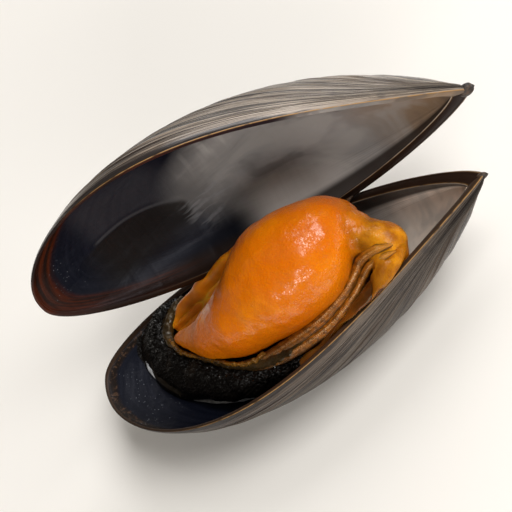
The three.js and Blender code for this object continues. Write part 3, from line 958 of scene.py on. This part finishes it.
class MUSSEL_OT_mantle(bpy.types.Operator):
    """Mantle under the lobe, its dark frill, gill folds and front folds."""

    bl_idname = "mussel.mantle"
    bl_label = "Mantle"

    def execute(self, context):
        look = context.scene.mussel_meat
        self.base()
        self.frill(look)
        self.folds(look)
        return {"FINISHED"}

    def base(self):
        """Dark bed that fills the bottom of the hollow, shaped like a smaller valve."""
        x, y = margin(np.arange(160) / 160)
        start, length, back, front, shift = 17, 0.645, 0.84, 0.6, 0.4
        foot = np.stack([start + length * x, np.where(y > 0, front, back) * y + shift, 0 * x], 1)
        middle = np.array((36.5, 2.4, 0))
        rows = []
        for part in np.linspace(0.04, 0.97, 22):
            p = middle + (foot - middle) * part
            p[:, 2] = 0.81 * hollow((p[:, 0] - start) / length, (p[:, 1] - shift) / back) - 0.6
            rows.append(p)
        for part, z in ((1.0, -3.4), (0.97, -2.6), (0.9, -1.9), (0.8, -1.4), (0.6, -1.2), (0.3, -1.2)):
            p = middle + (foot - middle) * part
            p[:, 2] = z
            rows.append(p)
        rows = settled(np.array(rows))
        material = flesh_material("mantle_base", (0.005, 0.003, 0.002), (0.002, 0.0015, 0.001), 1.0, 0.3, 1.0,
                                  0.0)
        meat_piece("mantle_base", rows.reshape(-1, 3), seam(rows, False), material)

    def frill(self, look):
        """Black warty edge of the mantle."""
        warts = look.warts / MM

        def relief(p, run, side):
            """Warts on the upper side, fading towards the ends."""
            wart = 0.5 - np.abs(bumps(p, 1.5, 3.0))
            keep = np.clip(np.minimum(run, 1 - run) * 12, 0, 1)
            upper = np.clip(1.25 - side * 1.1, 0.15, 1)
            return (warts * (wart + 0.6 * bumps(p, 3.2, 5.0)) * upper + 0.3 * bumps(p, 0.35, 8.0)) * keep

        sh = Shader("mantle_frill", IOR=1.22, Coat_Roughness=0.15, Coat_IOR=1.45)
        at = sh.inner()
        pores = sh.cells(at, 2600.0)
        tone = sh.mix(sh.noise(at, 300.0, 3.0).above(0.55, 0.78), look.frill[:], (0.012, 0.007, 0.004))
        sparks = sh.noise(at, 1500.0, 2.0, 0.6).above(0.55, 0.63) * sh.field("across").below(0.3, 0.6)
        material = sh.finish(Base_Color=tone, Roughness=0.25 + pores * 0.3, Coat_Weight=sparks,
                             Normal=sh.bump(pores, 0.0002, 0.6))
        soft_body("mantle_frill", (
            (181, 294, 175, 290, 0.2, -0.8, 0.5), (174, 307, 163, 306, 0.3, -1.4, 1),
            (165, 325, 151, 329, 0.2, -2, 1.3), (166, 341, 146.5, 350, 0.1, -2.8, 1.5),
            (180, 353, 154, 372, 0, -3.2, 1.6), (200, 360, 174, 388, 0, -3.4, 1.7),
            (222, 366.5, 200, 397, -0.1, -3.6, 1.7), (246, 370.5, 228, 400, -0.2, -3.8, 1.6),
            (266, 369, 252, 396, -0.4, -3.8, 1.5), (286, 362, 277, 386, -0.8, -3.8, 1.3),
            (305, 351, 300, 373, -1.2, -3.6, 1), (320, 340, 318, 358, -1.6, -3.4, 0.6),
        ), 520, 90, material, relief, 0.85)

    def folds(self, look):
        """Folds between the lobe and the lip, and the wet skirt around the frill."""
        olive = flesh_material("inner_mantle", (0.045, 0.023, 0.005), (0.014, 0.008, 0.003), 1.5, 0.2, 1.0,
                               0.05)
        soft_body("inner_mantle", (
            (184, 297, 179, 296, 0.4, 0.1, 0.3), (177, 310, 171, 309, 0.5, 0.1, 0.6),
            (172.5, 326, 164, 325, 0.5, 0.1, 0.8), (174, 339, 165.5, 341, 0.4, 0.1, 0.9),
            (184, 349, 180, 354, 0.3, 0, 0.9), (201, 355, 200, 361, 0.2, -0.1, 0.9),
            (222, 360, 222, 367.5, 0.2, -0.2, 0.9), (246, 363, 246, 371, 0.1, -0.3, 0.9),
            (268, 357, 270, 368, 0.1, -0.6, 0.9), (292, 344, 298, 357, 0.2, -1, 1),
            (315, 326, 322, 340, 0.3, -1.2, 1), (336, 304, 346, 318, 0.4, -1.2, 0.6),
        ), 300, 40, olive, lambda p, run, side: 0.12 * bumps(p, 1.2, 3.0))
        gold = flesh_material("ruffle", (0.22, 0.095, 0.01), (0.06, 0.024, 0.004), 2.0, 0.2, 1.5, 0.1)
        soft_body("ruffle", (
            (171, 339, 170, 342, 1.2, 1, 0.2), (182, 350, 181, 354, 1.2, 1, 0.5),
            (199, 355, 199, 359, 1.2, 1, 0.6), (216, 358.5, 216, 362.5, 1.1, 0.9, 0.6),
            (230, 361.5, 231, 365.5, 1.1, 0.9, 0.6), (244, 362.5, 245, 366, 1, 0.8, 0.5),
            (255, 358, 257, 361.5, 1, 0.8, 0.4), (263, 351, 266, 354, 1, 0.8, 0.2),
        ), 360, 30, gold, lambda p, run, side: 0.14 * bumps(p, 2.2, 6.0))
        comb = comb_material()

        def ribs(p, run, side):
            """Fine ribs across a gill fold."""
            return 0.03 * np.sin(2 * np.pi * look.ribs * run) + 0.05 * bumps(p, 1.0, 3.0)

        soft_body("gill_fold_1", (
            (392, 243.5, 393, 245.5, 3.3, 3.2, 0.1), (384, 243.5, 387, 249, 3.4, 3, 0.45),
            (371, 246.5, 377, 255, 3.4, 2.6, 0.7), (357, 256.5, 366, 264, 3, 2.1, 0.8),
            (350, 272, 360.5, 276.5, 2.5, 1.6, 0.8), (341, 288, 352, 294, 1.9, 1.1, 0.75),
            (328.5, 303.5, 339, 311, 1.5, 0.8, 0.7), (314, 317.5, 325, 326, 1.2, 0.6, 0.65),
            (297, 331, 306, 340.5, 0.9, 0.4, 0.6), (281, 342, 289, 351, 0.7, 0.2, 0.55),
            (267, 351, 273.5, 359.5, 0.6, 0.1, 0.5), (253, 358, 257, 365, 0.5, 0, 0.4),
            (239, 361.5, 241, 367, 0.4, -0.1, 0.25),
        ), 900, 30, comb, ribs, lying_on="lobe")
        soft_body("gill_fold_2", (
            (395, 250.5, 396, 252, 2.6, 2.5, 0.1), (387, 251.5, 390, 256.5, 2.8, 2.3, 0.35),
            (376, 255.5, 381, 262, 2.5, 1.8, 0.5), (365.5, 264.5, 372, 270.5, 2.1, 1.4, 0.6),
            (359, 276, 367, 281, 1.6, 0.9, 0.6), (350.5, 292.5, 358.5, 298.5, 1.1, 0.4, 0.6),
            (337.5, 309.5, 345.5, 317, 0.8, 0.1, 0.55), (323.5, 324, 331.5, 332.5, 0.5, -0.1, 0.5),
            (304.5, 338, 312.5, 347, 0.3, -0.3, 0.5), (287.5, 349, 295, 358, 0.1, -0.4, 0.45),
            (271.5, 357.5, 278, 366, 0, -0.5, 0.4), (255.5, 363.5, 260, 371, 0, -0.5, 0.35),
            (239, 366, 241, 371, 0, -0.5, 0.2),
        ), 900, 30, comb, ribs, lying_on="lobe")
        bed = flesh_material("fold_bed", (0.1, 0.032, 0.004), (0.03, 0.009, 0.002), 0.8, 0.16, 0.5, 0.1)
        soft_body("fold_bed", (
            (384, 262, 400, 276, 0, -2.4, 0.6), (370, 274, 392, 292, -0.4, -2.8, 0.9),
            (360, 286, 382, 306, -0.8, -3, 1), (349, 302, 370, 322, -1, -3.2, 1),
            (334, 320, 354, 338, -1.2, -3.4, 1), (317, 336, 336, 352, -1.3, -3.6, 0.9),
            (299, 350, 316, 366, -1.3, -3.8, 0.8), (281, 360, 294, 376, -1.3, -3.9, 0.7),
            (263, 368, 272, 380, -1.3, -3.9, 0.4),
        ), 200, 50, bed, lambda p, run, side: 0.25 * bumps(p, 0.5, 3.0))
        amber = flesh_material("amber_fold", look.amber[:], (0.055, 0.016, 0.002), 0.8, 0.16, 0.5, 0.2)
        soft_body("amber_fold", (
            (382, 264, 396, 269, 1, 0.8, 0.9), (376, 275, 388, 282, 0.9, 0.7, 1.2),
            (367, 288, 377, 296, 0.7, 0.5, 1.2), (356, 303, 365, 310, 0.4, 0.1, 1),
            (344, 318, 352, 325, 0, -0.4, 0.9), (330, 333, 338, 340, -0.5, -1, 0.8),
            (315, 347, 322, 354, -1, -1.6, 0.6), (298, 360, 303, 367, -1.5, -2.2, 0.5),
            (282, 369, 285, 374, -2, -2.6, 0.3),
        ), 260, 60, amber, lambda p, run, side: 0.25 * bumps(p, 0.45, 6.0))
        sh = Shader("skirt", Roughness=0.25, IOR=1.42)
        at = sh.inner()
        gleam = sh.field("run").above(0.0, 0.3) * sh.noise(at, 260.0, 3.0).above(0.3, 0.6)
        tone = sh.mix(gleam, (0.04, 0.04, 0.044), (0.7, 0.71, 0.73))
        skirt = sh.finish(Base_Color=tone, Normal=sh.bump(sh.noise(at, 500.0), 0.0002, 0.4))
        stations = []
        for x, y in ((158, 316), (149, 334), (146, 352), (151, 370), (164, 384), (183, 394), (206, 400.5),
                     (232, 400.5), (252, 396.5), (272, 389), (294, 378)):
            out = Vector((x - 235, y - 340)).normalized() * 2.2
            near, far = (x - out.x, y - out.y), (x + out.x, y + out.y)
            stations.append((*near, *far, lining_height(near, 0.5), lining_height(far, 0.3), 0.26))
        soft_body("skirt", stations, 300, 16, skirt, lambda p, run, side: 0.06 * bumps(p, 0.8, 6.0))


class MUSSEL_PT_panel(bpy.types.Panel):
    """Sizes, colours and steps of the open mussel."""

    bl_idname = "MUSSEL_PT_panel"
    bl_label = "Open Mussel"
    bl_space_type = "VIEW_3D"
    bl_region_type = "UI"
    bl_category = "Mussel"

    def draw(self, context):
        for group in ("mussel_shell", "mussel_meat", "mussel_stage"):
            look = getattr(context.scene, group)
            for key in look.__annotations__:
                self.layout.prop(look, key)
        for step in STEPS:
            self.layout.operator(step.bl_idname)


STEPS = (MUSSEL_OT_stage, MUSSEL_OT_valves, MUSSEL_OT_ligament, MUSSEL_OT_lobe, MUSSEL_OT_mantle)
LOOKS = {"mussel_shell": ShellLook, "mussel_meat": MeatLook, "mussel_stage": StageLook}


def register():
    for item in (*LOOKS.values(), *STEPS, MUSSEL_PT_panel):
        bpy.utils.register_class(item)
    for name, look in LOOKS.items():
        setattr(bpy.types.Scene, name, PointerProperty(type=look))


def unregister():
    for name in LOOKS:
        delattr(bpy.types.Scene, name)
    for item in (MUSSEL_PT_panel, *reversed(STEPS), *LOOKS.values()):
        bpy.utils.unregister_class(item)


def main():
    register()
    bpy.ops.mussel.stage()
    bpy.ops.mussel.valves()
    bpy.ops.mussel.ligament()
    bpy.ops.mussel.lobe()
    bpy.ops.mussel.mantle()


if __name__ == "__main__":
    main()
